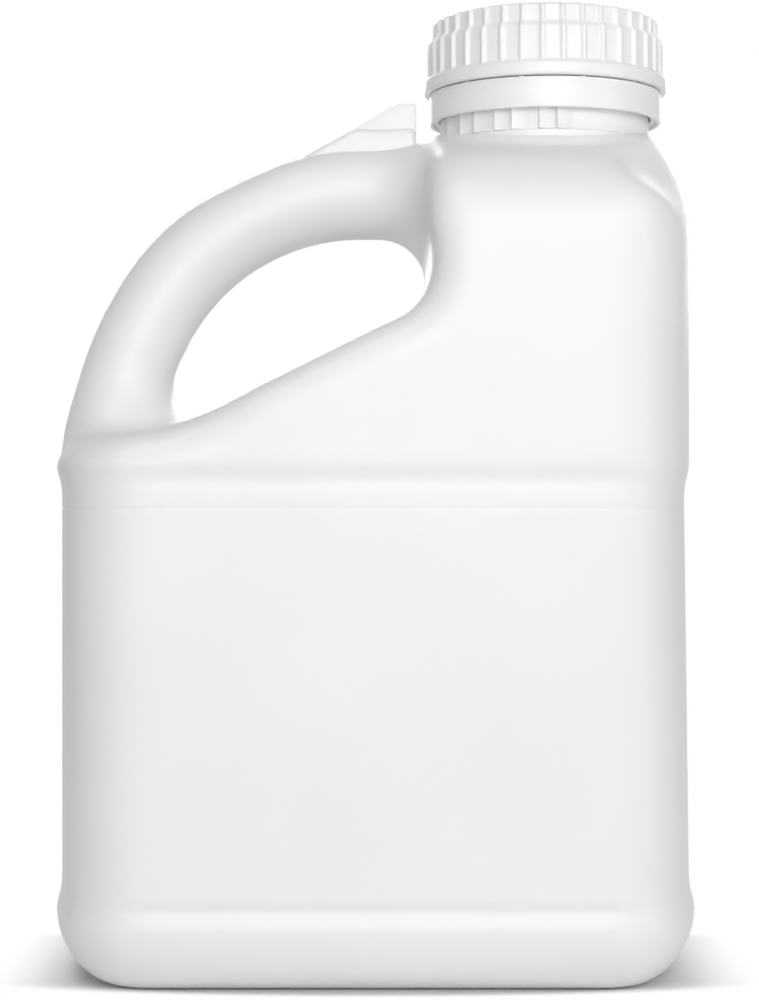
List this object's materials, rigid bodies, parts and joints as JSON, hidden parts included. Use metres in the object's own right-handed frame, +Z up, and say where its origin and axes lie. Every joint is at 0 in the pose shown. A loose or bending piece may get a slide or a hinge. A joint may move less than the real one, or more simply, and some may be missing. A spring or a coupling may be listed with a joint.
{
  "type": "insecticide jug",
  "caption": "Oblong blow-moulded jug with a hollow side handle, a stepped fin on the handle, a sloped shoulder and a ribbed screw cap with a tamper band.",
  "frame": {"origin": "middle of the jug's bounding box, on the plane of its standing ring", "axes": "+X towards the neck side, +Y towards the back, +Z up along the neck"},
  "size_m": [0.189, 0.12, 0.2802],
  "materials": {
    "bottle": "blow-moulded white HDPE, satin",
    "closure": "injection-moulded white polypropylene, semi-gloss",
    "liner": "expanded polyethylene foam wad, matt"
  },
  "bodies": {
    "bottle": {"bottle": "bottle", "bottle_shoulder": "bottle", "bottle_handle": "bottle", "bottle_neck": "bottle", "tamper_band": "closure"},
    "liner": {"liner": "liner"},
    "cap": {"cap": "closure"}
  },
  "joints": [
    {"name": "cap_lift", "type": "slide", "parent": "bottle", "child": "liner", "axis": [0, 0, 1], "range_m": [0, 0.0188]},
    {"name": "cap_turn", "type": "hinge", "parent": "liner", "child": "cap", "pos_m": [0.0505, 0, 0.27], "axis": [0, 0, 1], "range_deg": [0, 1350]}
  ],
  "couplings": [
    {"joint": "cap_lift", "follows": "cap_turn", "m_per_rad": 0.00079577}
  ]
}
